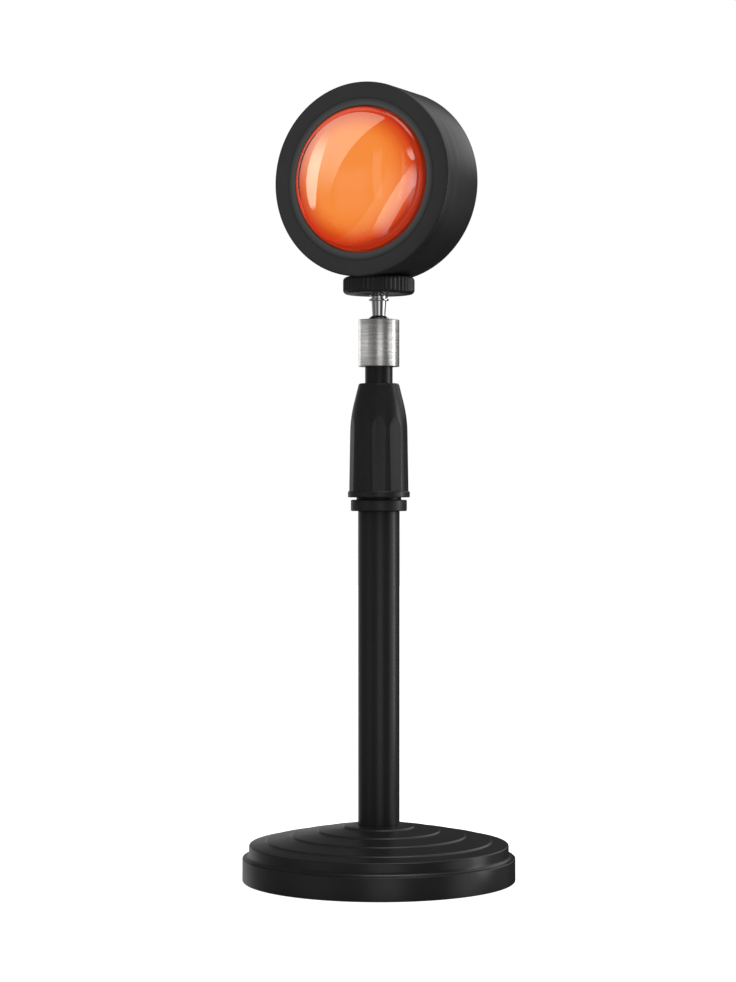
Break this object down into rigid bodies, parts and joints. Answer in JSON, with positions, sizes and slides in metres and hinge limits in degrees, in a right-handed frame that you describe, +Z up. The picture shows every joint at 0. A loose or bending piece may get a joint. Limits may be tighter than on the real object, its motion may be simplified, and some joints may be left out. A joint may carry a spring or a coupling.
{
  "type": "sunset projection lamp",
  "caption": "Black table lamp with a round weighted base, a telescopic pole with a twist lock, a ball joint and a short drum-shaped head with a domed orange projection lens.",
  "frame": {"origin": "middle of the base's underside, on the pole's axis", "axes": "+Z up along the pole, -Y the way the lens faces, +X to the lamp's left as seen from the front"},
  "size_m": [0.0926, 0.0926, 0.2686],
  "materials": {
    "black_paint": "satin black powder coat on steel",
    "black_plastic": "satin black moulded plastic",
    "black_anodised": "fine-turned black anodised aluminium",
    "iron": "rough cast",
    "zinc_steel": "zinc plated",
    "turned_steel": "fine-turned stainless steel",
    "chrome": "polished",
    "brass": "plain turned",
    "white_nylon": "natural nylon",
    "rubber": "matt",
    "rubber_pad": "matt foam rubber",
    "lens_glass": "polished clear glass, coloured by the filter behind it",
    "filter_glass": "colour coated glass",
    "reflector_chrome": "vacuum metallised plastic",
    "board_white": "white solder mask on an aluminium board",
    "led_yellow": "phosphor under clear resin",
    "component_black": "moulded",
    "thermal_silicone": "soft pad"
  },
  "bodies": {
    "stand": {"base_cover": "black_paint", "base_ballast": "iron", "base_plate": "zinc_steel", "base_plate_screws": "zinc_steel", "anti_slip_pad": "rubber_pad", "pole_bolt": "zinc_steel", "pole_washer": "zinc_steel", "pole_foot_plug": "zinc_steel", "outer_pole": "black_paint", "collet_body": "black_plastic"},
    "ferrule": {"clamp_ferrule": "brass"},
    "grip": {"lock_grip": "black_plastic"},
    "guide": {"guide_bush": "white_nylon"},
    "upper": {"inner_pole": "black_paint", "pole_top_plug": "zinc_steel", "ball_housing": "turned_steel", "ball_springs": "zinc_steel"},
    "seat": {"ball_seat": "white_nylon"},
    "stud": {"ball_stud": "chrome"},
    "washer": {"nut_washer": "rubber"},
    "nut": {"lock_nut": "black_plastic", "nut_insert": "brass"},
    "head": {"lamp_barrel": "black_anodised", "mount_insert": "brass", "lens_ring": "black_anodised", "lens": "lens_glass", "lens_gasket": "rubber", "colour_filter": "filter_glass", "reflector": "reflector_chrome", "led_board": "board_white", "led_chip": "led_yellow", "board_parts": "component_black", "lead_header": "white_nylon", "led_screws": "zinc_steel", "thermal_pad": "thermal_silicone", "rear_cover": "black_anodised", "rear_screws": "zinc_steel", "cable_gland": "rubber"}
  },
  "joints": [
    {"name": "pole_slide", "type": "slide", "parent": "stand", "child": "guide", "axis": [0, 0, 1], "range_m": [-0.004, 0.085]},
    {"name": "pole_turn", "type": "hinge", "parent": "guide", "child": "upper", "pos_m": [0, 0, 0.1], "axis": [0, 0, 1], "range_deg": [-180, 180]},
    {"name": "ball_azimuth", "type": "hinge", "parent": "upper", "child": "seat", "pos_m": [0, 0, 0.187], "axis": [0, 0, 1], "range_deg": [-180, 180]},
    {"name": "ball_tilt", "type": "hinge", "parent": "seat", "child": "stud", "pos_m": [0, 0, 0.187], "axis": [1, 0, 0], "range_deg": [-22, 22]},
    {"name": "head_turn", "type": "hinge", "parent": "stud", "child": "head", "pos_m": [0, 0, 0.187], "axis": [0, 0, 1], "range_deg": [-180, 180]},
    {"name": "nut_slide", "type": "slide", "parent": "head", "child": "washer", "axis": [0, 0, 1], "range_m": [-0.00064, 0.00001]},
    {"name": "nut_turn", "type": "hinge", "parent": "washer", "child": "nut", "pos_m": [0, 0, 0.2], "axis": [0, 0, 1], "range_deg": [-180, 0]},
    {"name": "lock_slide", "type": "slide", "parent": "stand", "child": "ferrule", "axis": [0, 0, 1], "range_m": [-0.00001, 0.00101]},
    {"name": "grip_turn", "type": "hinge", "parent": "ferrule", "child": "grip", "pos_m": [0, 0, 0.15], "axis": [0, 0, 1], "range_deg": [0, 120]}
  ],
  "couplings": [
    {"joint": "nut_slide", "follows": "nut_turn", "m_per_rad": 0.000202},
    {"joint": "lock_slide", "follows": "grip_turn", "m_per_rad": 0.000477}
  ]
}
